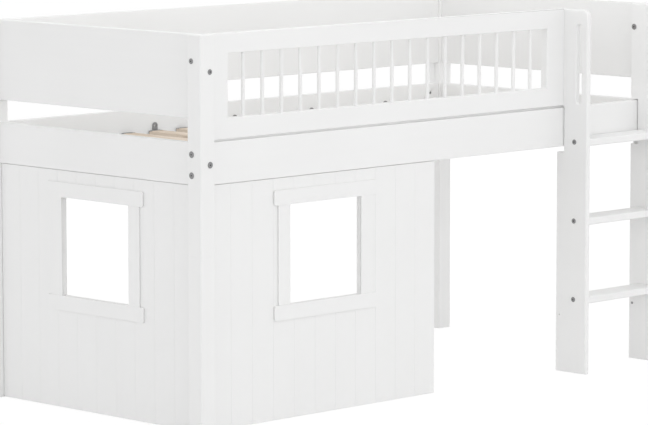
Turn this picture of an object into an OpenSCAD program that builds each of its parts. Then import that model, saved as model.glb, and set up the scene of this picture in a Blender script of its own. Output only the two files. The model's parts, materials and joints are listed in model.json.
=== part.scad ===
// Mid-height cabin bed with a play den below it, a barred front guard and an upright ladder.
// X runs along the bed, Y from its front to its back, Z up from the floor.

/* [Overall] */
// Length over the corner posts
bed_l = 2100; // [1900:10:2300]
// Width over the corner posts
bed_w = 1010; // [900:10:1300]
// Height of the corner posts
bed_h = 1200; // [1150:10:1300]

/* [Posts and legs] */
// Side of the square corner posts
post = 58; // [56:1:70]
// Rounding of the posts' long edges
post_edge_r = 4; // [2:1:6]
// Height of the screwed-on legs
leg_h = 538; // [400:2:600]
// Diameter of the stud between a post and its leg
stud_d = 10; // [8:1:12]
// Length of that stud
stud_l = 80; // [50:2:100]

/* [Rails] */
// Thickness of rails and guard boards
board_t = 27; // [24:1:30]
// Step from a post's outer face to a board's outer face
board_inset = 23; // [20:1:26]
// Rounding of the boards' long edges
board_edge_r = 2.5; // [1:0.5:5]
// Height of the rails' lower edge above the floor
rail_z = 748; // [720:2:760]
// Height of the rails
rail_h = 128; // [120:2:140]
// Distance between the two bolts at a side rail's end
rail_bolt_step = 63; // [50:1:70]
// Distance between the two dowels at an end rail's end
rail_dowel_step = 96; // [90:1:104]

/* [Guards] */
// Gap between the rails and the solid guard boards
guard_board_gap = 72; // [40:1:100]
// Gap between the front rail and the barred guard
guard_gap = 8; // [4:1:14]
// Height of the barred guard's upper and lower rails
guard_rail_h = 61; // [50:1:70]
// Width of the barred guard's upright beside the post
guard_post_upright_w = 77; // [60:1:100]
// Width of the barred guard's upright beside the ladder
guard_ladder_upright_w = 82; // [60:1:100]
// Distance from one guard bar to the next
guard_bar_step = 80.5; // [60:0.5:84]
// Diameter of the guard bars
guard_bar_d = 12; // [10:1:16]
// Depth of the guard bars in their rails
guard_bar_in = 15; // [8:1:24]
// Drop from the top to the bolts of the long guards
guard_bolt_drop = 78; // [70:1:84]
// Drop from the top to the bolts of the end guards
end_bolt_drop = 110; // [100:1:120]
// Drop from the top to the guards' upper dowels
guard_dowel_drop = 35; // [25:1:50]

/* [Ladder] */
// Width over the two stiles
ladder_w = 392; // [350:2:460]
// How far the stiles stand out in front of the posts
ladder_out = 78; // [60:1:100]
// Thickness of the stiles
stile_t = 20; // [18:1:26]
// Rounding of the stiles' top front corners
stile_corner_r = 22; // [10:1:30]
// Height of the notch below the rail
notch_drop = 19; // [6:1:30]
// Width of the hand slots
slot_w = 20.5; // [18:0.5:28]
// Length of the hand slots
slot_l = 260; // [150:1:290]
// Drop from the top to the hand slots
slot_drop = 48; // [40:1:70]
// Distance from the stiles' front edge to the middle of the hand slots
slot_in = 36.5; // [25:0.5:45]
// Height of the lowest tread's middle
tread_first_z = 244.5; // [200:0.5:260]
// Distance from one tread to the next
tread_step = 260.5; // [230:0.5:262]
// Thickness of the treads
tread_t = 24; // [20:1:30]
// Distance from the stiles' front edge to the treads' front edge
tread_in = 8; // [4:1:14]
// Gap between the treads' back edge and the front rail
tread_back_gap = 3; // [1:0.5:8]
// Rounding of the treads' long edges
tread_edge_r = 5; // [2:1:8]
// Distance from a tread's bolt to its dowel
tread_dowel_step = 28; // [22:1:32]
// Height of the ladder's foot screw
foot_screw_z = 189; // [150:1:220]

/* [Slatted base] */
// Distance from one slat to the next, adjusted a little so that whole steps fit
slat_step = 120; // [90:1:130]
// Gap between the posts and the first slat
slat_end_gap = 1.2; // [1:0.1:10]
// Width of the slats
slat_w = 54; // [45:1:60]
// Thickness of the slats
slat_t = 12; // [8:1:14]
// Height of the slats' upper face above the rails' lower edge
slat_rise = 55; // [50:1:65]
// How much the slats' ends are thinned for their caps
slat_end_drop = 0.5; // [0.3:0.1:2]
// Every how many slats the caps carry a tab
tab_every = 3; // [2:1:4]
// Wall of the slat caps
cap_wall = 2.5; // [2:0.5:4]
// Length of the slat caps
cap_l = 14; // [10:1:24]
// Width of the caps' upright tabs
tab_w = 20.5; // [18:0.5:30]
// Height of the tabs above the slats
tab_h = 27.5; // [22:0.5:36]
// Thickness of the tabs
tab_t = 4; // [3:0.5:6]
// Hole in the tabs
tab_hole_d = 7; // [5:0.5:9]
// Height of the battens under the slats
batten_h = 22; // [18:1:24]
// Depth of the battens under the slats
batten_d = 30; // [26:1:40]

/* [Play panels] */
// Thickness of the grooved panels
panel_t = 16; // [12:1:17]
// Step from a post's outer face to a panel's outer face
panel_inset = 28; // [26:1:29]
// Distance from one V groove to the next
plank_w = 89.1; // [80:0.1:98]
// Boards that the grooves mark along the front panel
front_planks = 11; // [9:1:12]
// Width of the V grooves
groove_w = 4; // [2:0.5:6]
// Depth of the V grooves
groove_d = 2; // [1:0.5:3]
// Clear width of the window openings
window_w = 309; // [260:1:340]
// Clear height of the window openings
window_h = 308; // [260:2:340]
// Height of the window openings above the floor
window_z = 355; // [330:1:380]
// Width of the side casings
casing_w = 50; // [40:1:60]
// Thickness of the side casings
casing_t = 5; // [3:1:8]
// Height of the lintels and sills
lintel_h = 47; // [30:1:50]
// Thickness of the lintels and sills
lintel_t = 7; // [4:1:10]
// How far the lintels and sills reach past the casings
lintel_over = 18; // [10:1:28]
// Rounding of the lintels' and sills' corners
lintel_r = 6; // [2:1:10]

/* [Fasteners] */
// Diameter of the bolts' shanks
bolt_d = 6; // [6:1:8]
// Diameter of the flat heads of the bolts in the guards and the treads
bolt_head_d = 17; // [14:1:20]
// Diameter of the flat heads of the bolts in the rails and the ladder's post
rail_head_d = 20; // [16:0.5:21]
// Thickness of the bolts' heads
bolt_head_h = 2; // [1.5:0.5:3]
// Size of the hexagon socket across its flats
socket_af = 4; // [3:0.5:4]
// Depth of the hexagon socket
socket_depth = 3; // [2:0.5:4]
// Diameter of the barrel nuts
nut_d = 10; // [10:1:12]
// Length of the barrel nuts
nut_l = 18; // [16:1:20]
// Distance from a joint to its barrel nut's middle
nut_in = 39; // [30:1:42]
// How far a bolt reaches past its barrel nut's middle
nut_past = 8; // [6:1:12]
// Distance from the bolts' middles to the boards' inner faces
bolt_back = 11; // [10.5:0.5:13]
// Diameter of the wooden dowels
dowel_d = 8; // [6:1:8]
// Depth of a dowel in a post, an upright or a stile
dowel_in = 14; // [10:1:14]
// Depth of a dowel in a rail, a board or a tread
dowel_out = 25; // [18:1:30]
// Outer diameter of the threaded insert behind the ladder
insert_d = 12; // [10:1:14]
// Length of that insert
insert_l = 20; // [15:1:25]
// Diameter of the wood screws
screw_d = 4; // [3:0.5:5]
// Diameter of the wood screws' heads
screw_head_d = 8; // [6:0.5:9]
// Thickness of the wood screws' heads
screw_head_h = 2; // [1.5:0.5:3]
// Depth of a wood screw in a rail or leg
screw_in = 15; // [10:1:18]
// Depth of a wood screw in a panel
panel_screw_in = 8; // [6:1:8]
// Screws along each batten
batten_screws_n = 7; // [4:1:9]
// Fixing plates along each panel
plates_n = 3; // [2:1:4]
// Width of the fixing plates
plate_w = 24; // [18:1:30]
// Thickness of the fixing plates
plate_t = 2; // [1.5:0.5:2]
// Reach of the fixing plates down the panels
plate_down = 40; // [25:1:50]
// Gap between the fixing plates' upper edge and the battens
plate_gap = 1.5; // [1:0.5:3]

/* [Clearances] */
// Gap between the panels and the floor, the rails and the posts
panel_gap = 1.5; // [1:0.5:3]
// Gap between the ladder's stiles and the guard and post beside them
ladder_gap = 0.5; // [0.3:0.1:2]
// Gap above and in front of the rail in the ladder's notches
notch_gap = 3.5; // [2:0.5:6]
// Gap all round a bolt in its bore
bolt_clear = 0.5; // [0.2:0.1:0.6]
// Gap all round dowels, nuts, screws, studs, bars and slats
fit_clear = 0.1; // [0.05:0.05:0.3]

/* [Hidden] */
$fn = 48;

paint = "white";
wood = "burlywood";
steel = "dimgray";
plastic = "#777777";
zinc = "silver";

// A sliver that carries a cut clear through a face
cut = 1;
// The origin lies on the floor, in the middle of the whole outline, ladder and bolt heads included
origin_x = bed_l / 2;
origin_y = (bed_w + bolt_head_h - ladder_out) / 2;

// Faces and middles of the boards, measured in from a post's outer face
board_in = board_inset + board_t;
board_mid = board_inset + board_t / 2;
bolt_y = board_in - bolt_back;
rail_top = rail_z + rail_h;
rail_mid = rail_z + rail_h / 2;
guard_board_z = rail_top + guard_board_gap;
guard_board_h = bed_h - guard_board_z;

// Heights of bolts and dowels at the corners
rail_bolts = [rail_mid - rail_bolt_step / 2, rail_mid + rail_bolt_step / 2];
rail_dowels = [rail_mid - rail_dowel_step / 2, rail_mid + rail_dowel_step / 2];
guard_bolt_z = bed_h - guard_bolt_drop;
end_bolt_z = bed_h - end_bolt_drop;
// The lower dowel lies halfway between the bolt and the board's lower edge
function guard_dowels(bolt_z) = [(bolt_z + guard_board_z) / 2, bed_h - guard_dowel_drop];
bolt_bore = bolt_d + 2 * bolt_clear;
nut_bore = nut_d + 2 * fit_clear;
dowel_bore = dowel_d + 2 * fit_clear;
screw_bore = screw_d + 2 * fit_clear;
stud_bore = stud_d + 2 * fit_clear;
// A barrel nut lies square to its bolt, half of it on either side
nut_half = nut_l / 2;

// Barred front guard, from the front left post to the ladder
ladder_x = bed_l - post - ladder_gap - ladder_w;
guard_x0 = post;
guard_x1 = ladder_x - ladder_gap;
guard_z = rail_top + guard_gap;
guard_mid_x = (guard_x0 + guard_x1) / 2;
guard_rail_x0 = guard_x0 + guard_post_upright_w;
guard_rail_x1 = guard_x1 - guard_ladder_upright_w;
guard_rail_mids = [guard_z + guard_rail_h / 2, bed_h - guard_rail_h / 2];
guard_frame_dowels = [-guard_rail_h / 4, guard_rail_h / 4];
// As many bars on either side of the middle as leave some room beside the uprights
guard_half_opening = min(guard_mid_x - guard_rail_x0, guard_rail_x1 - guard_mid_x);
guard_bars_side = floor((guard_half_opening - guard_bar_d) / guard_bar_step);
guard_bars_x = [for (k = [-guard_bars_side : guard_bars_side]) guard_mid_x + k * guard_bar_step];

// Ladder
stile_back = board_in;
stile_d = ladder_out + stile_back;
tread_d = ladder_out - tread_in + board_inset - tread_back_gap;
tread_mid_y = -ladder_out + tread_in + tread_d / 2;
treads_n = 3;
tread_l = ladder_w - 2 * stile_t;
stile_left_in = ladder_x + stile_t;
stile_right_x = ladder_x + ladder_w - stile_t;
function tread_z(k) = tread_first_z + k * tread_step;

// Slatted base
slat_top_z = rail_z + slat_rise;
slat_z = slat_top_z - slat_t;
cap_z = slat_z - cap_wall;
batten_z = cap_z - batten_h;
batten_x0 = post + panel_gap;
batten_l = bed_l - 2 * batten_x0;
cap_y = board_in + fit_clear;
slat_y = cap_y + cap_wall + fit_clear;
slat_shoulder_y = cap_y + cap_l + fit_clear;
cap_inner_z = slat_top_z - slat_end_drop + fit_clear;
// Whole steps from the middle slat to the first and the last one
slats_half_l = bed_l / 2 - post - slat_end_gap - slat_w / 2;
slats_side = round(slats_half_l / slat_step);
function slat_x(k) = bed_l / 2 + k * slats_half_l / slats_side;
function has_tab(k) = k % tab_every == 0;

// Play panels
panel_in = panel_inset + panel_t;
panel_top = rail_z - panel_gap;
panel_x0 = post + panel_gap;
end_panel_l = bed_w - 2 * panel_x0;
front_panel_l = front_planks * plank_w;
end_mid = panel_x0 + end_panel_l / 2;
front_mid = panel_x0 + front_panel_l / 2;
lintel_l = window_w + 2 * casing_w + 2 * lintel_over;
plate_panel_z = panel_top - plate_t - plate_down / 2;
plate_top = batten_z - plate_gap;
plate_rail_z = (rail_z + plate_top) / 2;

// ---------- shared shapes ----------

// Puts the origin in the middle of the outline
module placed() {
    translate([-origin_x, -origin_y, 0]) children();
}

module rounded_rect(w, h, r) {
    translate([r, 0]) square([w - 2 * r, h]);
    translate([0, r]) square([w, h - 2 * r]);
    for (x = [r, w - r], y = [r, h - r]) translate([x, y]) circle(r = r);
}

// Bars with their four long edges rounded, along X and along Z
module bar_x(l, w, h, r) {
    rotate([90, 0, 90]) linear_extrude(l) rounded_rect(w, h, r);
}

module bar_z(w, d, h, r) {
    linear_extrude(h) rounded_rect(w, d, r);
}

module rod_x(d, l) {
    rotate([0, 90, 0]) cylinder(d = d, h = l);
}

module rod_y(d, l) {
    rotate([-90, 0, 0]) cylinder(d = d, h = l);
}

// Swaps X and Y, so that what is made along a side lies along an end
module swapped() {
    mirror([1, -1, 0]) children();
}

// Carries a shape to the far end of a span along X
module at_end(e, span) {
    translate([e * span, 0, 0]) mirror([e, 0, 0]) children();
}

// Carries a shape from the front to the back
module at_back(j) {
    translate([0, j * bed_w, 0]) mirror([0, j, 0]) children();
}

// Carries a shape made at the front left corner to corner i, j
module at_corner(i, j) {
    at_end(i, bed_l) at_back(j) children();
}

// ---------- joints at the corners ----------

// Bolts and dowels that a corner takes from the piece along its side and from the piece along its end
function side_bolts(i, j) = (i == 1 && j == 0) ? rail_bolts : concat(rail_bolts, [guard_bolt_z]);
function side_dowels(i, j) = (i == 1 && j == 0) ? [] : guard_dowels(guard_bolt_z);
end_bolts = [rail_mid, end_bolt_z];
end_dowels = concat(rail_dowels, guard_dowels(end_bolt_z));

module post_bores(i, j) {
    for (z = side_bolts(i, j)) translate([-cut, bolt_y, z]) rod_x(bolt_bore, post + 2 * cut);
    for (z = end_bolts) translate([bolt_y, -cut, z]) rod_y(bolt_bore, post + 2 * cut);
    for (z = side_dowels(i, j)) translate([post - dowel_in, board_mid, z]) rod_x(dowel_bore, dowel_in + cut);
    for (z = end_dowels) translate([board_mid, post - dowel_in, z]) rod_y(dowel_bore, dowel_in + cut);
}

// Bolt and nut bores of a piece along X whose end lies at x = 0; its inner face lies at y = board_in
module end_bolt_bores(zs) {
    for (z = zs) {
        translate([-cut, bolt_y, z]) rod_x(bolt_bore, nut_in + nut_past + cut);
        translate([nut_in, bolt_y - nut_half, z]) rod_y(nut_bore, nut_half + bolt_back + cut);
    }
}

module end_dowel_bores(zs) {
    for (z = zs) translate([-cut, board_mid, z]) rod_x(dowel_bore, dowel_out + cut);
}

// A rail or board between two posts of a span along X
module member(span, z0, h, bolts, dowels_z) {
    difference() {
        translate([post, board_inset, z0]) bar_x(span - 2 * post, board_t, h, board_edge_r);
        for (e = [0, 1]) at_end(e, span) translate([post, 0, 0]) {
            end_bolt_bores(bolts);
            end_dowel_bores(dowels_z);
        }
    }
}

// ---------- posts and legs ----------

module upper_post(i, j) {
    color(paint) placed() at_corner(i, j) difference() {
        translate([0, 0, leg_h]) bar_z(post, post, bed_h - leg_h, post_edge_r);
        translate([post / 2, post / 2, leg_h - cut]) cylinder(d = stud_bore, h = stud_l / 2 + cut);
        post_bores(i, j);
        if (i == 1 && j == 0) {
            // Seat of the threaded insert that holds the ladder
            translate([post - insert_l - nut_past, bolt_y, guard_bolt_z]) {
                rod_x(bolt_bore, insert_l + nut_past + cut);
                translate([nut_past, 0, 0]) rod_x(insert_d + 2 * fit_clear, insert_l + cut);
            }
        }
    }
}

module leg(i, j) {
    color(paint) placed() at_corner(i, j) difference() {
        bar_z(post, post, leg_h, post_edge_r);
        translate([post / 2, post / 2, leg_h - stud_l / 2]) cylinder(d = stud_bore, h = stud_l / 2 + cut);
        if (i == 1 && j == 0)
            translate([post - screw_in, board_mid, foot_screw_z]) rod_x(screw_bore, screw_in + cut);
    }
}

module leg_studs() {
    color(zinc) placed() for (i = [0, 1], j = [0, 1]) at_corner(i, j)
        translate([post / 2, post / 2, leg_h - stud_l / 2]) cylinder(d = stud_d, h = stud_l);
}

// ---------- rails and solid guard boards ----------

// Middles of the fixing plates along a panel of length l
function plate_xs(l) = [for (k = [0 : plates_n - 1]) panel_x0 + l * (k + 0.5) / plates_n];

// Screw bores of the fixing plates in a rail's inner face
module plate_rail_bores(l) {
    for (x = plate_xs(l))
        translate([x, board_in - screw_in, plate_rail_z]) rod_y(screw_bore, screw_in + cut);
}

// Places of the screws along a batten
batten_xs = [for (k = [0 : batten_screws_n - 1]) batten_x0 + batten_l * (k + 0.5) / batten_screws_n];
batten_screw_z = batten_z + batten_h / 2;

module batten_bores() {
    for (x = batten_xs)
        translate([x, board_in - screw_in, batten_screw_z]) rod_y(screw_bore, screw_in + cut);
}

module side_rail(j) {
    color(paint) placed() at_back(j) difference() {
        member(bed_l, rail_z, rail_h, rail_bolts, []);
        batten_bores();
        if (j == 0) plate_rail_bores(front_panel_l);
    }
}

module end_rail(i) {
    color(paint) placed() at_end(i, bed_l) swapped() difference() {
        member(bed_w, rail_z, rail_h, [rail_mid], rail_dowels);
        if (i == 0) plate_rail_bores(end_panel_l);
    }
}

module guard_board_back() {
    color(paint) placed() at_back(1)
        member(bed_l, guard_board_z, guard_board_h, [guard_bolt_z], guard_dowels(guard_bolt_z));
}

module guard_board_end(i) {
    color(paint) placed() at_end(i, bed_l) swapped()
        member(bed_w, guard_board_z, guard_board_h, [end_bolt_z], guard_dowels(end_bolt_z));
}

// ---------- barred front guard ----------

// Dowel bores of a guard rail's two ends, dir is 1 for bores in the rail and -1 for those in the uprights
module guard_frame_bores(dir) {
    depth = dir > 0 ? dowel_out : dowel_in;
    for (z = guard_rail_mids, dz = guard_frame_dowels) {
        translate([guard_rail_x0, board_mid, z + dz]) mirror([dir > 0 ? 0 : 1, 0, 0])
            translate([-cut, 0, 0]) rod_x(dowel_bore, depth + cut);
        translate([guard_rail_x1, board_mid, z + dz]) mirror([dir > 0 ? 1 : 0, 0, 0])
            translate([-cut, 0, 0]) rod_x(dowel_bore, depth + cut);
    }
}

guard_bar_z0 = guard_z + guard_rail_h - guard_bar_in;
guard_bar_z1 = bed_h - guard_rail_h + guard_bar_in;

module guard_rail(z0) {
    color(paint) placed() difference() {
        translate([guard_rail_x0, board_inset, z0])
            bar_x(guard_rail_x1 - guard_rail_x0, board_t, guard_rail_h, board_edge_r);
        guard_frame_bores(1);
        for (x = guard_bars_x) translate([x, board_mid, guard_bar_z0])
            cylinder(d = guard_bar_d + 2 * fit_clear, h = guard_bar_z1 - guard_bar_z0);
    }
}

module guard_upright(x0, w, e) {
    color(paint) placed() difference() {
        translate([x0, board_inset, guard_z]) bar_z(w, board_t, bed_h - guard_z, board_edge_r);
        guard_frame_bores(-1);
        translate([x0 + e * w, 0, 0]) mirror([e, 0, 0]) {
            end_bolt_bores([guard_bolt_z]);
            if (e == 0) end_dowel_bores(guard_dowels(guard_bolt_z));
        }
    }
}

module guard_bars() {
    color(paint) placed() for (x = guard_bars_x)
        translate([x, board_mid, guard_bar_z0]) cylinder(d = guard_bar_d, h = guard_bar_z1 - guard_bar_z0);
}

// ---------- ladder ----------

// A stile's outline, with Y to the right and the floor at the bottom
module stile_outline() {
    difference() {
        translate([-ladder_out, 0]) square([stile_d, bed_h]);
        // Rounded top front corner
        translate([-ladder_out, bed_h - stile_corner_r]) difference() {
            translate([-cut, 0]) square([stile_corner_r + cut, stile_corner_r + cut]);
            translate([stile_corner_r, 0]) circle(r = stile_corner_r);
        }
        // Notch that hooks over the front rail
        translate([board_inset - notch_gap, rail_z - notch_drop])
            square([board_t + notch_gap + cut, rail_h + notch_drop + notch_gap]);
        // Hand slot
        translate([-ladder_out + slot_in, 0]) {
            translate([-slot_w / 2, bed_h - slot_drop - slot_l + slot_w / 2])
                square([slot_w, slot_l - slot_w]);
            translate([0, bed_h - slot_drop - slot_w / 2]) circle(d = slot_w);
            translate([0, bed_h - slot_drop - slot_l + slot_w / 2]) circle(d = slot_w);
        }
    }
}

// inward is 1 for the left stile, whose treads lie on its +X side, and -1 for the right one
module ladder_stile(x0, inward) {
    face = inward > 0 ? x0 + stile_t : x0;
    color(paint) placed() difference() {
        translate([x0, 0, 0]) rotate([90, 0, 90]) linear_extrude(stile_t) stile_outline();
        for (k = [0 : treads_n - 1]) {
            translate([x0 - cut, tread_mid_y, tread_z(k)]) rod_x(bolt_bore, stile_t + 2 * cut);
            translate([face, tread_mid_y + tread_dowel_step, tread_z(k)]) mirror([inward > 0 ? 1 : 0, 0, 0])
                translate([-cut, 0, 0]) rod_x(dowel_bore, dowel_in + cut);
        }
        translate([x0 - cut, bolt_y, guard_bolt_z]) rod_x(bolt_bore, stile_t + 2 * cut);
        translate([x0 - cut, board_mid, foot_screw_z]) rod_x(screw_bore, stile_t + 2 * cut);
    }
}

module ladder_tread(k) {
    color(paint) placed() difference() {
        translate([stile_left_in, tread_mid_y - tread_d / 2, tread_z(k) - tread_t / 2])
            bar_x(tread_l, tread_d, tread_t, tread_edge_r);
        for (e = [0, 1]) translate([stile_left_in + e * tread_l, tread_mid_y, tread_z(k)]) mirror([e, 0, 0]) {
            translate([-cut, 0, 0]) rod_x(bolt_bore, nut_in + nut_past + cut);
            translate([-cut, tread_dowel_step, 0]) rod_x(dowel_bore, dowel_out + cut);
            // The barrel nut goes in from below
            translate([nut_in, 0, -tread_t / 2 - cut])
                cylinder(d = nut_bore, h = tread_t / 2 + nut_half + cut);
        }
    }
}

// ---------- slatted base ----------

module slat_batten(j) {
    color(paint) placed() at_back(j) difference() {
        translate([batten_x0, board_in, batten_z]) cube([batten_l, batten_d, batten_h]);
        for (x = batten_xs) translate([x, board_in - cut, batten_screw_z]) {
            rod_y(screw_bore, batten_d + 2 * cut);
            translate([0, batten_d + cut - screw_head_h - fit_clear, 0])
                rod_y(screw_head_d + 2 * fit_clear, screw_head_h + fit_clear + cut);
        }
    }
}

// A slat, whose shoulders leave a flat face between its caps
module slat() {
    difference() {
        translate([-slat_w / 2, slat_y, slat_z]) cube([slat_w, bed_w - 2 * slat_y, slat_t]);
        for (j = [0, 1]) at_back(j) translate([-slat_w / 2 - cut, slat_y - cut, slat_top_z - slat_end_drop])
            cube([slat_w + 2 * cut, slat_shoulder_y - slat_y + cut, slat_end_drop + cut]);
    }
}

module slats() {
    color(wood) placed() for (k = [-slats_side : slats_side]) translate([slat_x(k), 0, 0]) slat();
}

// A cap with a lip above and a lip below the slat's end, open at its sides
module slat_cap() {
    difference() {
        translate([-slat_w / 2, cap_y, cap_z]) cube([slat_w, cap_l, cap_inner_z + cap_wall - cap_z]);
        translate([-slat_w / 2 - cut, cap_y + cap_wall, slat_z])
            cube([slat_w + 2 * cut, cap_l, cap_inner_z - slat_z]);
    }
}

// A cap with an upright tab that keeps the mattress off the rail
module tab_cap() {
    slat_cap();
    round_z = slat_top_z + tab_h - tab_w / 2;
    difference() {
        translate([0, cap_y, 0]) union() {
            translate([-tab_w / 2, 0, cap_inner_z]) cube([tab_w, tab_t, round_z - cap_inner_z]);
            translate([0, 0, round_z]) rod_y(tab_w, tab_t);
        }
        translate([0, cap_y - cut, round_z]) rod_y(tab_hole_d, tab_t + 2 * cut);
    }
}

module slat_caps() {
    color(plastic) placed() for (k = [-slats_side : slats_side], j = [0, 1])
        if (!has_tab(k)) translate([slat_x(k), 0, 0]) at_back(j) slat_cap();
}

module tab_caps() {
    color(plastic) placed() for (k = [-slats_side : slats_side], j = [0, 1])
        if (has_tab(k)) translate([slat_x(k), 0, 0]) at_back(j) tab_cap();
}

// ---------- play panels ----------

// Plan of a grooved panel of length l, outer face towards -Y
module panel_plan(l) {
    grooves = [for (x = [plank_w : plank_w : l - groove_w], p = [[-1, 0], [0, 1], [1, 0]])
        [x + p[0] * groove_w / 2, p[1] * groove_d]];
    polygon(concat([[0, 0]], grooves, [[l, 0], [l, panel_t], [0, panel_t]]));
}

module play_panel(l, mid) {
    difference() {
        translate([panel_x0, panel_inset, panel_gap]) linear_extrude(panel_top - panel_gap) panel_plan(l);
        translate([mid - window_w / 2, panel_inset - cut, window_z])
            cube([window_w, panel_t + 2 * cut, window_h]);
        for (x = plate_xs(l))
            translate([x, panel_in - panel_screw_in, plate_panel_z]) rod_y(screw_bore, panel_screw_in + cut);
    }
}

// A lintel or sill over the panel's outer face, its lower edge at z0
module window_bar(mid, z0) {
    translate([mid - lintel_l / 2, panel_inset, z0]) rotate([90, 0, 0])
        linear_extrude(lintel_t) rounded_rect(lintel_l, lintel_h, lintel_r);
}

module window_casings(mid) {
    for (x = [mid - window_w / 2 - casing_w, mid + window_w / 2])
        translate([x, panel_inset - casing_t, window_z]) cube([casing_w, casing_t, window_h]);
}

module on_end_panel() {
    color(paint) placed() swapped() children();
}

module on_front_panel() {
    color(paint) placed() children();
}

// A step-shaped strip of steel from the panel's inner face to the rail's
module panel_plate() {
    y0 = panel_in;
    y1 = board_in;
    z0 = panel_top - plate_t - plate_down;
    z1 = panel_top - plate_t;
    z2 = plate_top;
    difference() {
        rotate([90, 0, 90]) translate([0, 0, -plate_w / 2]) linear_extrude(plate_w) polygon([
            [y0, z0], [y0 + plate_t, z0], [y0 + plate_t, z1], [y1 + plate_t, z1],
            [y1 + plate_t, z2], [y1, z2], [y1, z1 + plate_t], [y0, z1 + plate_t]]);
        translate([0, y0 - cut, plate_panel_z]) rod_y(screw_bore, plate_t + 2 * cut);
        translate([0, y1 - cut, plate_rail_z]) rod_y(screw_bore, plate_t + 2 * cut);
    }
}

module panel_plates() {
    color(zinc) placed() {
        for (x = plate_xs(front_panel_l)) translate([x, 0, 0]) panel_plate();
        swapped() for (x = plate_xs(end_panel_l)) translate([x, 0, 0]) panel_plate();
    }
}

// ---------- fasteners ----------

// A flat-headed bolt along +X from the face that its head lies on, with a hexagon socket
module bolt(l, head_d = bolt_head_d) {
    difference() {
        union() {
            translate([-bolt_head_h, 0, 0]) rotate([0, 90, 0])
                cylinder(d1 = head_d - bolt_head_h, d2 = head_d, h = bolt_head_h / 2);
            translate([-bolt_head_h / 2, 0, 0]) rod_x(head_d, bolt_head_h / 2);
            rod_x(bolt_d, l);
        }
        translate([-bolt_head_h - cut, 0, 0]) rotate([0, 90, 0])
            cylinder(d = socket_af / cos(30), h = socket_depth + cut, $fn = 6);
    }
}

// A wood screw along -Y whose head lies on the face y = 0
module screw(l) {
    translate([0, -l, 0]) rod_y(screw_d, l);
    rod_y(screw_head_d, screw_head_h);
}

// A barrel nut along +Y, cross-bored for its bolt
module barrel_nut() {
    difference() {
        translate([0, -nut_half, 0]) rod_y(nut_d, nut_l);
        translate([-nut_d, 0, 0]) rod_x(bolt_d + 2 * fit_clear, 2 * nut_d);
    }
}

// A dowel along +X
module dowel() {
    rod_x(dowel_d, dowel_in + dowel_out);
}

// A bolt through a post, with a larger head where it holds a rail
module corner_bolt(z) {
    translate([0, bolt_y, z]) bolt(post + nut_in + nut_past, z < rail_top ? rail_head_d : bolt_head_d);
}

// A corner's bolts, nuts and dowels, once along the side and once along the end
module corner_bolts(i, j) {
    for (z = side_bolts(i, j)) corner_bolt(z);
    swapped() for (z = end_bolts) corner_bolt(z);
}

module corner_nuts(i, j) {
    for (z = side_bolts(i, j)) translate([post + nut_in, bolt_y, z]) barrel_nut();
    swapped() for (z = end_bolts) translate([post + nut_in, bolt_y, z]) barrel_nut();
}

module corner_dowels(i, j) {
    for (z = side_dowels(i, j)) translate([post - dowel_in, board_mid, z]) dowel();
    swapped() for (z = end_dowels) translate([post - dowel_in, board_mid, z]) dowel();
}

module frame_bolts() {
    color(steel) placed() for (i = [0, 1], j = [0, 1]) at_corner(i, j) corner_bolts(i, j);
}

// Both ends of every tread, seen from the stile's outer face
module at_tread_ends() {
    for (k = [0 : treads_n - 1], e = [0, 1])
        translate([ladder_x + e * ladder_w, tread_mid_y, tread_z(k)]) mirror([e, 0, 0]) children();
}

module ladder_bolts() {
    color(steel) placed() {
        at_tread_ends() bolt(stile_t + nut_in + nut_past);
        // The left stile holds the barred guard's free end
        translate([stile_left_in, bolt_y, guard_bolt_z]) mirror([1, 0, 0])
            bolt(stile_left_in - guard_x1 + nut_in + nut_past);
    }
}

module ladder_post_bolt() {
    color(steel) placed() translate([stile_right_x, bolt_y, guard_bolt_z])
        bolt(stile_t + ladder_gap + insert_l, rail_head_d);
}

module ladder_insert() {
    color(zinc) placed() translate([bed_l - post, bolt_y, guard_bolt_z]) difference() {
        rod_x(insert_d, insert_l);
        translate([-cut, 0, 0]) rod_x(bolt_d + 2 * fit_clear, insert_l + 2 * cut);
    }
}

module ladder_foot_screw() {
    color(steel) placed() translate([stile_right_x, board_mid, foot_screw_z]) rotate([0, 0, 90])
        screw(stile_t + ladder_gap + screw_in);
}

module barrel_nuts() {
    color(zinc) placed() {
        for (i = [0, 1], j = [0, 1]) at_corner(i, j) corner_nuts(i, j);
        translate([guard_x1 - nut_in, bolt_y, guard_bolt_z]) barrel_nut();
        at_tread_ends() translate([stile_t + nut_in, 0, 0]) rotate([90, 0, 0]) barrel_nut();
    }
}

module dowels() {
    color(wood) placed() {
        for (i = [0, 1], j = [0, 1]) at_corner(i, j) corner_dowels(i, j);
        for (z = guard_rail_mids, dz = guard_frame_dowels) {
            translate([guard_rail_x0 - dowel_in, board_mid, z + dz]) dowel();
            translate([guard_rail_x1 - dowel_out, board_mid, z + dz]) dowel();
        }
        at_tread_ends() translate([stile_t - dowel_in, tread_dowel_step, 0]) dowel();
    }
}

module batten_screws() {
    color(zinc) placed() for (j = [0, 1], x = batten_xs) at_back(j)
        translate([x, board_in + batten_d - screw_head_h, batten_screw_z])
            screw(batten_d - screw_head_h + screw_in - fit_clear);
}

module plate_panel_screws() {
    color(zinc) placed() {
        for (x = plate_xs(front_panel_l))
            translate([x, panel_in + plate_t, plate_panel_z]) screw(plate_t + panel_screw_in - fit_clear);
        swapped() for (x = plate_xs(end_panel_l))
            translate([x, panel_in + plate_t, plate_panel_z]) screw(plate_t + panel_screw_in - fit_clear);
    }
}

module plate_rail_screws() {
    color(zinc) placed() {
        for (x = plate_xs(front_panel_l))
            translate([x, board_in + plate_t, plate_rail_z]) screw(plate_t + screw_in - fit_clear);
        swapped() for (x = plate_xs(end_panel_l))
            translate([x, board_in + plate_t, plate_rail_z]) screw(plate_t + screw_in - fit_clear);
    }
}

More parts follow.
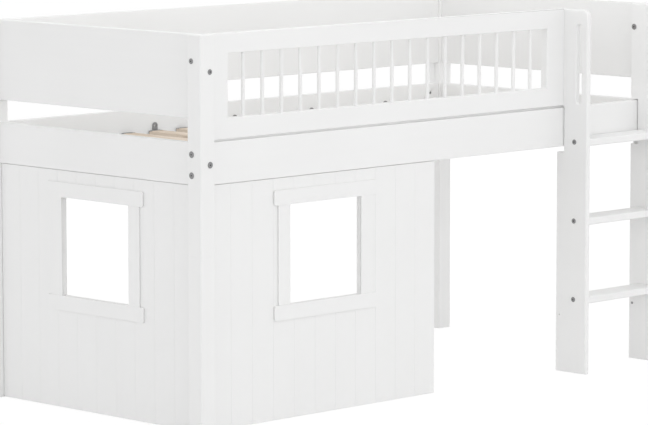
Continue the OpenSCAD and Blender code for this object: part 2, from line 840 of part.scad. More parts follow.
upper_post(0, 0);  // post_front_left
upper_post(1, 0);  // post_front_right
upper_post(0, 1);  // post_back_left
upper_post(1, 1);  // post_back_right
leg(0, 0);  // leg_front_left
leg(1, 0);  // leg_front_right
leg(0, 1);  // leg_back_left
leg(1, 1);  // leg_back_right
leg_studs();
side_rail(0);  // side_rail_front
side_rail(1);  // side_rail_back
end_rail(0);  // end_rail_left
end_rail(1);  // end_rail_right
guard_board_back();
guard_board_end(0);  // guard_board_left
guard_board_end(1);  // guard_board_right
guard_rail(bed_h - guard_rail_h);  // guard_top_rail
guard_rail(guard_z);  // guard_bottom_rail
guard_upright(guard_x0, guard_post_upright_w, 0);  // guard_upright_post
guard_upright(guard_rail_x1, guard_ladder_upright_w, 1);  // guard_upright_ladder
guard_bars();
ladder_stile(ladder_x, 1);  // ladder_stile_left
ladder_stile(stile_right_x, -1);  // ladder_stile_right
ladder_tread(0);  // ladder_tread_bottom
ladder_tread(1);  // ladder_tread_middle
ladder_tread(2);  // ladder_tread_top
slat_batten(0);  // slat_batten_front
slat_batten(1);  // slat_batten_back
slats();
slat_caps();
tab_caps();
on_end_panel() play_panel(end_panel_l, end_mid);  // play_panel_end
on_front_panel() play_panel(front_panel_l, front_mid);  // play_panel_front
on_end_panel() window_bar(end_mid, window_z + window_h);  // end_window_lintel
on_end_panel() window_bar(end_mid, window_z - lintel_h);  // end_window_sill
on_end_panel() window_casings(end_mid);  // end_window_casings
on_front_panel() window_bar(front_mid, window_z + window_h);  // front_window_lintel
on_front_panel() window_bar(front_mid, window_z - lintel_h);  // front_window_sill
on_front_panel() window_casings(front_mid);  // front_window_casings
frame_bolts();
ladder_bolts();
ladder_post_bolt();
ladder_insert();
ladder_foot_screw();
barrel_nuts();
dowels();
batten_screws();
panel_plates();
plate_panel_screws();
plate_rail_screws();
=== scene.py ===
# %% [markdown]
# # A white cabin bed, finished on its imported frame
#
# The bed stands on the floor at the origin, with its length along X, its front towards -Y and Z up.
# Every board, post and bolt already has its true size and place in the imported frame, in metres. What
# this script adds is what a camera sees: edges that a router and sandpaper have broken, lacquer with a
# trace of the spray gun in it, bare pine on the slats, steel bolt heads and grey plastic caps.
#
# The frame is loaded first. Looks may round an edge off, but they may not change a size.

# %% Load the frame
import json
import math

import bmesh
import bpy
from mathutils import Matrix, Vector

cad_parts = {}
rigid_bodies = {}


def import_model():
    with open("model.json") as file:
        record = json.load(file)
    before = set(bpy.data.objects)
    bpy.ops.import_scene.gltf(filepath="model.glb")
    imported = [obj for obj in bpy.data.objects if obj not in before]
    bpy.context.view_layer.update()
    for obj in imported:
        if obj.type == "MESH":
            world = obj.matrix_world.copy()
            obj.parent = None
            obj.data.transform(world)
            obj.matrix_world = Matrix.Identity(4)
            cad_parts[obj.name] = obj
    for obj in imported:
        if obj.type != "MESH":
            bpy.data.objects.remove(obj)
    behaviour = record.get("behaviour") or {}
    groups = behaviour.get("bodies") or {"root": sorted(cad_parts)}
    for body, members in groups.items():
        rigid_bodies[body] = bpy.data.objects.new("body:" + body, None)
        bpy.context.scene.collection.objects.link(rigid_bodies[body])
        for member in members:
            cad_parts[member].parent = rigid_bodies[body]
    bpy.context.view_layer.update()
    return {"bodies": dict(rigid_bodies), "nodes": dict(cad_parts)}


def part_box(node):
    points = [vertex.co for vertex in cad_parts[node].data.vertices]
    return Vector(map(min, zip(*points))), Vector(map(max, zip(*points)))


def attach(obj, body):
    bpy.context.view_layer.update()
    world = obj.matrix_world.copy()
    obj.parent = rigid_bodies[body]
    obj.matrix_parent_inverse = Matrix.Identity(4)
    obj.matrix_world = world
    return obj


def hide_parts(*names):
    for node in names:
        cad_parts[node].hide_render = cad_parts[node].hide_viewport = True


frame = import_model()
bed_body = next(iter(frame["bodies"]))
MM = 0.001
print("frame:", len(frame["nodes"]), "nodes on body", bed_body)

# %% [markdown]
# ## The camera
#
# The picture was taken from far away with a long lens, a little above the guard's top, looking down by
# about 7 degrees across the front left corner. Upright edges stay nearly parallel, which is what makes
# such a picture look calm. A long focal length on a standard 36 mm wide sensor gives the same look, and
# because the view is centred on the picture, the lens needs no shift.

# %% Set up the camera
SENSOR_WIDTH, LENS, VIEW_END = 36.0, 205.97, 500.0
CAMERA_SPOT, CAMERA_TURN = (-8.50878, -8.47799, 2.00369), (83.0659, 0.0495, -44.8790)
camera_data = bpy.data.cameras.new("long_lens")
camera_data.sensor_fit = "HORIZONTAL"
camera_data.sensor_width = SENSOR_WIDTH
camera_data.lens = LENS
camera_data.clip_end = VIEW_END
camera = bpy.data.objects.new("camera", camera_data)
bpy.context.scene.collection.objects.link(camera)
camera.location = CAMERA_SPOT
camera.rotation_euler = [math.radians(angle) for angle in CAMERA_TURN]
bpy.context.scene.camera = camera
bpy.context.scene.view_settings.view_transform = "Standard"
print("camera", round(camera.location.length, 2), "m from the bed's foot, lens", LENS, "mm")

# %% [markdown]
# ## The studio
#
# White furniture on a white ground is read by its shading alone, so the light has to be soft and to
# differ a little from face to face: the long front is the brightest side, the end is a shade darker and
# the inside is darker still. A pale sky gives the base level. It is brightest at the horizon and dim
# overhead, so the upright faces get most of the light and the upper faces keep their colour.
#
# The floor and the sky are plain white wherever the camera, a reflection or glass looks straight at
# them. For all other rays they are an ordinary pale surface and an even light, so the bed is lit by
# the studio and not by its own backdrop. Near the bed the floor's colour is painted darker for those
# rays. This painted shade stands in for the bed's shade on the floor, so the floor returns a little
# less light there and the panels and the legs darken softly towards their feet.

# %% Helpers for node trees
def add_node(tree, kind, place, **settings):
    """Adds a node and sets its properties, or its input sockets where a key is a socket's name."""
    node = tree.nodes.new(kind)
    node.location = place
    for key, value in settings.items():
        if hasattr(node, key):
            setattr(node, key, value)
        else:
            node.inputs[key.replace("_", " ")].default_value = value
    return node


def seen_directly(tree, place):
    """1 for rays from the camera, from a gloss or through glass, 0 for the rays that carry light."""
    path = add_node(tree, "ShaderNodeLightPath", place)
    gloss = add_node(tree, "ShaderNodeMath", (place[0] + 200, place[1]), operation="MAXIMUM")
    glass = add_node(tree, "ShaderNodeMath", (place[0] + 400, place[1]), operation="MAXIMUM")
    tree.links.new(path.outputs["Is Camera Ray"], gloss.inputs[0])
    tree.links.new(path.outputs["Is Glossy Ray"], gloss.inputs[1])
    tree.links.new(gloss.outputs[0], glass.inputs[0])
    tree.links.new(path.outputs["Is Transmission Ray"], glass.inputs[1])
    return glass.outputs[0]


# %% The sky
SKY_HORIZON, SKY_ZENITH = 1.785, 0.17
world = bpy.data.worlds.new("studio_sky")
world.use_nodes = True
bpy.context.scene.world = world
sky = world.node_tree
sky.nodes.clear()
sky_coords = add_node(sky, "ShaderNodeTexCoord", (-800, 0))
sky_axes = add_node(sky, "ShaderNodeSeparateXYZ", (-600, 0))
sky_level = add_node(sky, "ShaderNodeMapRange", (-400, 0), To_Min=SKY_HORIZON, To_Max=SKY_ZENITH)
sky_light = add_node(sky, "ShaderNodeBackground", (0, 100), Color=(1, 1, 1, 1))
sky_white = add_node(sky, "ShaderNodeBackground", (0, -60), Color=(1, 1, 1, 1), Strength=1.0)
sky_mix = add_node(sky, "ShaderNodeMixShader", (250, 60))
sky_out = add_node(sky, "ShaderNodeOutputWorld", (450, 60))
sky.links.new(sky_coords.outputs["Generated"], sky_axes.inputs[0])
sky.links.new(sky_axes.outputs["Z"], sky_level.inputs["Value"])
sky.links.new(sky_level.outputs["Result"], sky_light.inputs["Strength"])
sky.links.new(seen_directly(sky, (-600, 300)), sky_mix.inputs["Fac"])
sky.links.new(sky_light.outputs[0], sky_mix.inputs[1])
sky.links.new(sky_white.outputs[0], sky_mix.inputs[2])
sky.links.new(sky_mix.outputs[0], sky_out.inputs["Surface"])
print("sky:", SKY_HORIZON, "at the horizon,", SKY_ZENITH, "overhead")

# %% The floor
FLOOR_SIZE, FLOOR_DROP = 120.0, 0.5 * MM
FLOOR_WHITE, FLOOR_GLOW = 0.86, 1.06
# Painted shade: within SHADE_NEAR of the bed the floor's colour is darker, and it fades to its open
# colour by SHADE_FAR.
SHADE_NEAR, SHADE_FAR, PAINTED_SHADE_ALBEDO, ALBEDO_FAR = 1.2, 3.0, 0.83, 0.92
floor_finish = bpy.data.materials.new("studio_floor")
floor_finish.use_nodes = True
ground = floor_finish.node_tree
ground.nodes.clear()
ground_coords = add_node(ground, "ShaderNodeTexCoord", (-900, 0))
ground_distance = add_node(ground, "ShaderNodeVectorMath", (-600, 0), operation="LENGTH")
ground_painted_shade = add_node(ground, "ShaderNodeMapRange", (-300, 0), From_Min=SHADE_NEAR, From_Max=SHADE_FAR,
                       To_Min=PAINTED_SHADE_ALBEDO, To_Max=ALBEDO_FAR)
ground.links.new(ground_coords.outputs["Object"], ground_distance.inputs[0])
ground.links.new(ground_distance.outputs["Value"], ground_painted_shade.inputs["Value"])
ground_matt = add_node(ground, "ShaderNodeBsdfDiffuse", (0, 100))
ground.links.new(ground_painted_shade.outputs["Result"], ground_matt.inputs["Color"])
ground_glow = add_node(ground, "ShaderNodeEmission", (0, -60), Color=(1, 1, 1, 1), Strength=FLOOR_GLOW)
ground_share = add_node(ground, "ShaderNodeMath", (0, 300), operation="MULTIPLY")
ground_share.inputs[1].default_value = FLOOR_WHITE
ground_mix = add_node(ground, "ShaderNodeMixShader", (250, 60))
ground_out = add_node(ground, "ShaderNodeOutputMaterial", (450, 60))
ground.links.new(seen_directly(ground, (-600, 300)), ground_share.inputs[0])
ground.links.new(ground_share.outputs[0], ground_mix.inputs["Fac"])
ground.links.new(ground_matt.outputs[0], ground_mix.inputs[1])
ground.links.new(ground_glow.outputs[0], ground_mix.inputs[2])
ground.links.new(ground_mix.outputs[0], ground_out.inputs["Surface"])

floor_shape = bmesh.new()
bmesh.ops.create_grid(floor_shape, x_segments=1, y_segments=1, size=FLOOR_SIZE)
floor_mesh = bpy.data.meshes.new("floor")
floor_shape.to_mesh(floor_mesh)
floor_shape.free()
floor = bpy.data.objects.new("floor", floor_mesh)
bpy.context.scene.collection.objects.link(floor)
floor_mesh.transform(Matrix.Translation((0, 0, -FLOOR_DROP)))
floor_mesh.materials.append(floor_finish)
print("floor", floor.dimensions[0], "m wide, returns", PAINTED_SHADE_ALBEDO, "of the light near the bed")

# %% [markdown]
# Three wide soft boxes add to the sky: one stands high in front, one behind the far right corner, and
# one hangs overhead. They lift the inner and the upper faces, so that no side of the bed goes flat or
# dark, and no face gets so much that its white clips.

# %% The soft boxes
BED_MIDDLE, SOFT_BOX_SIZE = Vector((0, 0, 0.6)), 4.0
for name, spot, power in (
    ("front_soft_box", (-1.5, -6.0, 4.5), 30.0),
    ("back_soft_box", (5.0, 6.0, 2.0), 80.0),
    ("top_soft_box", (0.0, -0.5, 6.0), 84.0),
):
    lamp_data = bpy.data.lights.new(name, "AREA")
    lamp_data.shape = "SQUARE"
    lamp_data.size = SOFT_BOX_SIZE
    lamp_data.energy = power
    lamp = bpy.data.objects.new(name, lamp_data)
    bpy.context.scene.collection.objects.link(lamp)
    lamp.location = spot
    lamp.rotation_euler = (BED_MIDDLE - Vector(spot)).to_track_quat("-Z", "Y").to_euler()
    print(name, "of", power, "W,", round((BED_MIDDLE - Vector(spot)).length, 1), "m from the bed")

# %% [markdown]
# ## Finishes
#
# White lacquer, bare pine, beech, two kinds of metal and a grey plastic cover the whole bed, and a
# near-black steel paints the shade inside the bolt sockets. Lacquer, pine and metal each start from a
# small shader group that answers one question, such as how fibres of wood show through lacquer, and
# gives out only masks, values and heights that change over the surface. The shader itself stays in each
# material, where its fixed numbers are plain to see.
#
# All patterns read Object coordinates. Every piece's object sits at the origin, so these are metres on
# the bed, and a fibre 0.3 mm wide is 0.3 mm wide on every board.

# %% Helpers for shader groups
def new_group(name, inputs, outputs):
    """A shader group with a Vector input, float inputs with their defaults, and the named outputs."""
    group = bpy.data.node_groups.new(name, "ShaderNodeTree")
    group.interface.new_socket(name="Vector", in_out="INPUT", socket_type="NodeSocketVector")
    for label, default in inputs.items():
        knob = group.interface.new_socket(name=label, in_out="INPUT", socket_type="NodeSocketFloat")
        knob.default_value = default
    for label in outputs:
        group.interface.new_socket(name=label, in_out="OUTPUT", socket_type="NodeSocketFloat")
    way_in = add_node(group, "NodeGroupInput", (-900, 0))
    return group, way_in, add_node(group, "NodeGroupOutput", (900, 0))


def give_out(group, way_out, results):
    """Links a group's results to its outputs of the same name."""
    for label, result in results.items():
        group.links.new(result, way_out.inputs[label])


def feed(tree, socket, value):
    """Gives an input its value: a link from another socket, a number or the three parts of a colour."""
    if isinstance(value, bpy.types.NodeSocket):
        tree.links.new(value, socket)
    else:
        socket.default_value = (*value, 1.0) if isinstance(value, tuple) else value


def noise(tree, place, vector, scale, detail=2.0, roughness=0.5, distortion=0.0):
    """A noise texture on that vector; scale may be a number or a socket."""
    node = add_node(tree, "ShaderNodeTexNoise", place, Detail=detail, Roughness=roughness,
                    Distortion=distortion)
    tree.links.new(vector, node.inputs["Vector"])
    feed(tree, node.inputs["Scale"], scale)
    return node.outputs["Fac"]


def calc(tree, place, a, b, operation="MULTIPLY"):
    """One Math node; a and b are sockets or numbers."""
    node = add_node(tree, "ShaderNodeMath", place, operation=operation)
    feed(tree, node.inputs[0], a)
    feed(tree, node.inputs[1], b)
    return node.outputs[0]


def spread(tree, place, value, source, target):
    """A Map Range node that spreads the source range over the target range."""
    node = add_node(tree, "ShaderNodeMapRange", place, From_Min=source[0], From_Max=source[1],
                    To_Min=target[0], To_Max=target[1])
    tree.links.new(value, node.inputs["Value"])
    return node.outputs["Result"]


# %% [markdown]
# ### Lacquer
#
# The lacquer is sprayed in two thin coats over pine and fibreboard. Close up it isn't a flat white: the
# fibres below stand up a little along each board, the film has the fine orange peel of a spray gun, and
# its sheen drifts from place to place. The vector that comes in is squeezed along the board, so the same
# noise that makes peel also makes fibres.

# %% Lacquer over wood fibres
FIBRE_SCALE, FIGURE_SCALE, PEEL_SCALE, DRIFT_SCALE = 420.0, 34.0, 700.0, 2.3
SHEEN_RANGE = (0.60, 0.72)
lacquer_film, film_in, film_out = new_group(
    "lacquer_film", {"Fibre Depth": 0.6, "Peel Depth": 0.3}, ("Tone", "Roughness", "Height"))
film_coords = add_node(lacquer_film, "ShaderNodeTexCoord", (-900, -260))
fibre_fine = noise(lacquer_film, (-600, 300), film_in.outputs["Vector"], FIBRE_SCALE, detail=3.0,
                   roughness=0.6)
fibre_wide = noise(lacquer_film, (-600, 80), film_in.outputs["Vector"], FIGURE_SCALE, distortion=0.6)
peel = noise(lacquer_film, (-600, -140), film_coords.outputs["Object"], PEEL_SCALE, detail=1.0)
drift = noise(lacquer_film, (-600, -360), film_coords.outputs["Object"], DRIFT_SCALE)
fibre_share = calc(lacquer_film, (-480, 200), fibre_fine, 0.45)
fibres = calc(lacquer_film, (-350, 200), fibre_share, fibre_wide, "ADD")
fibre_height = calc(lacquer_film, (-150, 200), fibres, film_in.outputs["Fibre Depth"])
peel_height = calc(lacquer_film, (-150, -60), peel, film_in.outputs["Peel Depth"])
figure_share = calc(lacquer_film, (-150, -220), fibre_wide, 0.35)
tone_mix = calc(lacquer_film, (100, -120), figure_share, drift, "ADD")
peel_share = calc(lacquer_film, (-150, -380), peel, 0.4)
sheen_mix = calc(lacquer_film, (100, -340), peel_share, drift, "ADD")
give_out(lacquer_film, film_out, {
    "Height": calc(lacquer_film, (100, 120), fibre_height, peel_height, "ADD"),
    "Tone": spread(lacquer_film, (350, -120), tone_mix, (0.35, 1.0), (0.0, 1.0)),
    "Roughness": spread(lacquer_film, (350, -340), sheen_mix, (0.3, 1.1), SHEEN_RANGE),
})
print("lacquer film:", len(lacquer_film.nodes), "nodes")

# %% Helpers for materials
def new_finish(name, squeeze=(1.0, 1.0, 1.0)):
    """A material with a Principled shader and Object coordinates squeezed along the grain."""
    material = bpy.data.materials.new(name)
    material.use_nodes = True
    tree = material.node_tree
    tree.nodes.clear()
    shader = add_node(tree, "ShaderNodeBsdfPrincipled", (500, 0))
    out = add_node(tree, "ShaderNodeOutputMaterial", (800, 0))
    tree.links.new(shader.outputs[0], out.inputs["Surface"])
    coords = add_node(tree, "ShaderNodeTexCoord", (-900, 0))
    mapping = add_node(tree, "ShaderNodeMapping", (-700, 0), Scale=squeeze)
    tree.links.new(coords.outputs["Object"], mapping.inputs["Vector"])
    return material, tree, shader, mapping.outputs["Vector"]


def use_group(tree, group, place, vector, **values):
    """Places a shader group and sets its knobs."""
    node = add_node(tree, "ShaderNodeGroup", place, node_tree=group)
    tree.links.new(vector, node.inputs["Vector"])
    for label, value in values.items():
        node.inputs[label.replace("_", " ")].default_value = value
    return node


def blend_colours(tree, place, mask, first, second):
    """Mixes two colours by a mask; each is a socket or three numbers."""
    node = add_node(tree, "ShaderNodeMix", place, data_type="RGBA")
    feed(tree, node.inputs["Factor"], mask)
    feed(tree, node.inputs[6], first)
    feed(tree, node.inputs[7], second)
    return node.outputs[2]


def raise_surface(tree, shader, height, depth, strength):
    """Feeds a height to the shader's normal through a Bump node; depth is in metres."""
    bump = add_node(tree, "ShaderNodeBump", (250, -300), Strength=strength, Distance=depth)
    tree.links.new(height, bump.inputs["Height"])
    tree.links.new(bump.outputs[0], shader.inputs["Normal"])


# %% White lacquer, once along each direction of the grain
PAINT_DULL, PAINT_CLEAR = (0.838, 0.838, 0.835), (0.862, 0.862, 0.860)
ALONG_GRAIN = 0.05


def lacquer(name, squeeze, fibre_depth=0.6, peel_depth=0.25):
    """White lacquer over fibres that run along the squeezed direction."""
    material, tree, shader, vector = new_finish(name, squeeze)
    film = use_group(tree, lacquer_film, (-400, 0), vector, Fibre_Depth=fibre_depth,
                     Peel_Depth=peel_depth)
    paint = blend_colours(tree, (0, 200), film.outputs["Tone"], PAINT_DULL, PAINT_CLEAR)
    tree.links.new(paint, shader.inputs["Base Color"])
    tree.links.new(film.outputs["Roughness"], shader.inputs["Roughness"])
    raise_surface(tree, shader, film.outputs["Height"], depth=0.12 * MM, strength=0.5)
    shader.inputs["IOR"].default_value = 1.48
    shader.inputs["Specular IOR Level"].default_value = 0.12
    return material


lacquer_along_x = lacquer("white_lacquer_along_x", (ALONG_GRAIN, 1.0, 1.0))
lacquer_along_y = lacquer("white_lacquer_along_y", (1.0, ALONG_GRAIN, 1.0))
lacquer_along_z = lacquer("white_lacquer_along_z", (1.0, 1.0, ALONG_GRAIN))
lacquer_on_board = lacquer("white_lacquer_on_fibreboard", (1.0, 1.0, 1.0), fibre_depth=0.0,
                           peel_depth=0.35)
print("lacquers:", [m.name for m in bpy.data.materials if m.name.startswith("white")])

# %% [markdown]
# ### Bare pine
#
# The slats are planed pine with no finish: straight early wood and late wood bands along the slat, wavy
# where a branch was near, and every slat from another part of the tree. The slat's number comes from its
# place along the bed and shifts both the pattern and the tone, so 17 slats in one mesh don't repeat.
# The light that the slats throw back onto the white boards is nearly neutral, so that the inside of the
# bed stays as white as it looks beside them.

# %% Growth rings of planed pine
SWAY_SCALE, WOOD_FIBRE_SCALE, BOARD_TOSS = 9.0, 520.0, (7.0, 7.0, 7.0)
pine_figure, pine_in, pine_out = new_group(
    "pine_figure", {"Board Step": 0.12, "Ring Scale": 90.0},
    ("Late Wood", "Board Tone", "Roughness", "Height"))
pine_coords = add_node(pine_figure, "ShaderNodeTexCoord", (-1300, -300))
pine_axes = add_node(pine_figure, "ShaderNodeSeparateXYZ", (-1100, -300))
pine_figure.links.new(pine_coords.outputs["Object"], pine_axes.inputs[0])
board_count = calc(pine_figure, (-900, -300), pine_axes.outputs["X"], pine_in.outputs["Board Step"],
                   "DIVIDE")
board_number = calc(pine_figure, (-750, -300), board_count, 0.0, "ROUND")
board_toss = add_node(pine_figure, "ShaderNodeTexWhiteNoise", (-600, -300), noise_dimensions="1D")
pine_figure.links.new(board_number, board_toss.inputs["W"])
board_shift = add_node(pine_figure, "ShaderNodeVectorMath", (-400, -100), operation="MULTIPLY_ADD")
board_shift.inputs[1].default_value = BOARD_TOSS
pine_figure.links.new(board_toss.outputs["Color"], board_shift.inputs[0])
pine_figure.links.new(pine_in.outputs["Vector"], board_shift.inputs[2])
sway = noise(pine_figure, (-200, 200), board_shift.outputs[0], SWAY_SCALE)
fine_fibre = noise(pine_figure, (-200, -60), board_shift.outputs[0], WOOD_FIBRE_SCALE, detail=3.0,
                   roughness=0.65)
ring_phase = calc(pine_figure, (0, 200), sway, pine_in.outputs["Ring Scale"])
ring_turn = calc(pine_figure, (150, 200), ring_phase, 0.0, "SINE")
ring_band = spread(pine_figure, (280, 200), ring_turn, (0.1, 1.0), (0.0, 0.8))
fibre_tint = calc(pine_figure, (280, -20), fine_fibre, 0.35)
late = calc(pine_figure, (400, 120), ring_band, fibre_tint, "ADD")
give_out(pine_figure, pine_out, {
    "Late Wood": late,
    "Board Tone": board_toss.outputs["Value"],
    "Roughness": spread(pine_figure, (600, -100), late, (0.0, 1.0), (0.66, 0.52)),
    "Height": calc(pine_figure, (600, -300), late, fine_fibre, "ADD"),
})
print("pine figure:", len(pine_figure.nodes), "nodes")

# %% Slat pine and dowel beech
SLAT_WIDTH, SLATS_COUNT = 54.0 * MM, 17
EARLY_WOOD, LATE_WOOD = ((0.76, 0.65, 0.535), (0.83, 0.73, 0.61)), (0.58, 0.46, 0.36)
BOUNCED_LIGHT = (0.82, 0.80, 0.76)
BEECH_FLECKS = ((0.52, 0.35, 0.22), (0.66, 0.49, 0.33))
slat_pitch = (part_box("slats")[1].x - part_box("slats")[0].x - SLAT_WIDTH) / (SLATS_COUNT - 1)
slat_pine, pine_tree, pine_shader, pine_vector = new_finish("bare_pine", (1.0, 0.06, 1.0))
figure = use_group(pine_tree, pine_figure, (-400, 0), pine_vector, Board_Step=slat_pitch, Ring_Scale=60.0)
early = blend_colours(pine_tree, (-150, 300), figure.outputs["Board Tone"], *EARLY_WOOD)
wood = blend_colours(pine_tree, (100, 200), figure.outputs["Late Wood"], early, LATE_WOOD)
pine_path = add_node(pine_tree, "ShaderNodeLightPath", (100, 450))
pine_colour = blend_colours(pine_tree, (300, 300), pine_path.outputs["Is Diffuse Ray"], wood,
                            BOUNCED_LIGHT)
pine_tree.links.new(pine_colour, pine_shader.inputs["Base Color"])
pine_tree.links.new(figure.outputs["Roughness"], pine_shader.inputs["Roughness"])
raise_surface(pine_tree, pine_shader, figure.outputs["Height"], depth=0.15 * MM, strength=0.6)

dowel_beech, beech_tree, beech_shader, beech_vector = new_finish("dowel_beech", (0.2, 0.2, 0.2))
flecks = noise(beech_tree, (-400, 0), beech_vector, scale=1500.0)
beech_tree.links.new(blend_colours(beech_tree, (0, 200), flecks, *BEECH_FLECKS),
                     beech_shader.inputs["Base Color"])
beech_tree.links.new(spread(beech_tree, (0, 0), flecks, (0.3, 0.7), (0.7, 0.55)),
                     beech_shader.inputs["Roughness"])
raise_surface(beech_tree, beech_shader, flecks, depth=0.1 * MM, strength=0.5)
print("woods:", slat_pine.name, dowel_beech.name)

# %% [markdown]
# ### Steel and plastic
#
# The bolts and the barrel nuts are satin grey steel, cloudy from place to place. Inside their hex
# sockets the bolts are painted near black, a painted shade for the shadow that fills each socket. The
# plates, studs and wood screws are zinc plated, with the cloudy patches of a plating line. The slat
# caps are moulded plastic with a spark-eroded grain that breaks up its shine.

# %% Turned and plated metal
metal_skin, metal_in, metal_out = new_group(
    "metal_skin", {"Cloud Scale": 160.0}, ("Cloud", "Roughness", "Height"))
clouds = noise(metal_skin, (-600, 200), metal_in.outputs["Vector"], metal_in.outputs["Cloud Scale"],
               detail=3.0)
turning = noise(metal_skin, (-600, -60), metal_in.outputs["Vector"], scale=2600.0, detail=1.0)
give_out(metal_skin, metal_out, {
    "Cloud": clouds,
    "Roughness": spread(metal_skin, (-200, 0), clouds, (0.3, 0.7), (0.34, 0.52)),
    "Height": calc(metal_skin, (-200, -250), turning, clouds, "ADD"),
})


def metal(name, dark, light, depth):
    """A metal whose colour drifts between two tones, with turning marks of that depth."""
    material, tree, shader, vector = new_finish(name)
    skin = use_group(tree, metal_skin, (-400, 0), vector)
    tone = blend_colours(tree, (0, 200), skin.outputs["Cloud"], dark, light)
    tree.links.new(tone, shader.inputs["Base Color"])
    tree.links.new(skin.outputs["Roughness"], shader.inputs["Roughness"])
    raise_surface(tree, shader, skin.outputs["Height"], depth, strength=0.4)
    shader.inputs["Metallic"].default_value = 1.0
    return material


bolt_steel = metal("satin_bolt_steel", (0.256, 0.256, 0.259), (0.348, 0.348, 0.351), 0.03 * MM)
# Painted shade: a near-black steel for the faces inside the hex sockets, where shade falls.
painted_socket_shade_steel = metal("steel_with_painted_socket_shade", (0.02, 0.02, 0.021), (0.05, 0.05, 0.052), 0.03 * MM)
zinc_plate = metal("zinc_plate", (0.52, 0.53, 0.55), (0.68, 0.69, 0.70), 0.04 * MM)
print("metals:", bolt_steel.name, painted_socket_shade_steel.name, zinc_plate.name)

# %% Moulded grey plastic
CAP_TONES = ((0.235, 0.235, 0.237), (0.300, 0.300, 0.302))
cap_plastic, cap_tree, cap_shader, cap_vector = new_finish("grey_cap_plastic")
grain = noise(cap_tree, (-400, 100), cap_vector, scale=2200.0)
flow = noise(cap_tree, (-400, -150), cap_vector, scale=60.0, detail=1.0)
cap_tree.links.new(blend_colours(cap_tree, (0, 200), flow, *CAP_TONES), cap_shader.inputs["Base Color"])
cap_tree.links.new(spread(cap_tree, (0, 0), grain, (0.3, 0.7), (0.40, 0.58)),
                   cap_shader.inputs["Roughness"])
raise_surface(cap_tree, cap_shader, grain, depth=0.05 * MM, strength=0.6)
print("plastic:", cap_plastic.name)

# %% [markdown]
# ## Pieces
#
# A board's true shape is already in the frame, with every bore in it, but as loose triangles with knife
# edges. Real edges are broken with sandpaper before the lacquer goes on, and that thin rounded strip
# catches the light. So each piece starts as a copy of its node: the loose corners are merged, triangles
# that lie in one plane become whole faces again, and then the edges are rounded, some with a bmesh bevel
# of their own radius and the rest with a fine Bevel modifier. A mesh face can't have a hole in it, so a
# face with bores is first split through them. A Weighted Normal modifier keeps the large faces flat
# beside those rounded strips.

# %% Copy a node's shape as whole faces
WELD, SPLIT, SAME_SPOT = 0.002 * MM, 0.001 * MM, 0.01 * MM
FLAT_ANGLE, SHARP_ANGLE = math.radians(0.5), math.radians(40)


def split_faces(shape, spot, direction, tolerance=SPLIT):
    """Splits the shape's faces along a plane and returns the new edges."""
    cut = bmesh.ops.bisect_plane(shape, geom=shape.verts[:] + shape.edges[:] + shape.faces[:],
                                 dist=tolerance, plane_co=spot, plane_no=direction)
    return [piece for piece in cut["geom_cut"] if isinstance(piece, bmesh.types.BMEdge)]


def copy_shape(node, cuts=()):
    """A bmesh of the node's shape, split and left split along the cuts: each a point and a direction."""
    shape = bmesh.new()
    shape.from_mesh(frame["nodes"][node].data)
    bmesh.ops.remove_doubles(shape, verts=shape.verts, dist=WELD)
    for spot, direction in cuts:
        for edge in split_faces(shape, spot, direction):
            edge.seam = True
    bmesh.ops.dissolve_limit(shape, angle_limit=FLAT_ANGLE, verts=shape.verts, edges=shape.edges,
                             delimit={"SEAM"})
    return shape


def round_over(shape, chosen, radius, segments=4, also=lambda edge: True):
    """Rounds the sharp edges whose ends are all chosen, and returns how many they are."""
    edges = [e for e in shape.edges if len(e.link_faces) == 2 and e.calc_face_angle() > SHARP_ANGLE
             and all(chosen(v.co) for v in e.verts) and also(e)]
    bmesh.ops.bevel(shape, geom=edges, offset=radius, offset_type="OFFSET", segments=segments,
                    profile=0.5, affect="EDGES", clamp_overlap=False, material=-1)
    return len(edges)


def loose_parts(shape):
    """The separate bodies of a shape, each as its vertices and the two corners of its box."""
    waiting, parts = set(shape.verts), []
    for first in shape.verts:
        if first not in waiting:
            continue
        waiting.discard(first)
        part = [first]
        for v in part:
            for edge in v.link_edges:
                other = edge.other_vert(v)
                if other in waiting:
                    waiting.discard(other)
                    part.append(other)
        parts.append((part, Vector([min(v.co[k] for v in part) for k in range(3)]),
                      Vector([max(v.co[k] for v in part) for k in range(3)])))
    return parts


# %% Turn a shape into a finished piece
def finish_piece(shape, name, nodes, finish, softness):
    """Gives the shape its finish, breaks its remaining edges and lets it stand for its nodes."""
    for face in shape.faces:
        face.smooth = True
    mesh = bpy.data.meshes.new(name)
    shape.to_mesh(mesh)
    shape.free()
    mesh.materials.append(finish)
    piece = bpy.data.objects.new(name, mesh)
    bpy.context.scene.collection.objects.link(piece)
    if softness:
        edges = piece.modifiers.new("broken_edges", "BEVEL")
        edges.width = softness
        edges.segments = 3
        edges.limit_method = "ANGLE"
        edges.angle_limit = SHARP_ANGLE
        edges.use_clamp_overlap = False
    flats = piece.modifiers.new("flat_faces", "WEIGHTED_NORMAL")
    flats.keep_sharp = True
    flats.weight = 60
    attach(piece, bed_body)
    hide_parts(*nodes)
    return piece


def refinish(node, finish):
    """Keeps a node as it is and gives it its finish."""
    mesh = frame["nodes"][node].data
    mesh.materials.clear()
    mesh.materials.append(finish)


# %% [markdown]
# ### Posts and legs
#
# The posts are glued square timber with 4 mm rounded edges, which the frame already has. Their tops get
# a 3 mm round-over. The ends that meet at the leg joint are only just broken, so that the joint reads as
# the fine line of the real one.

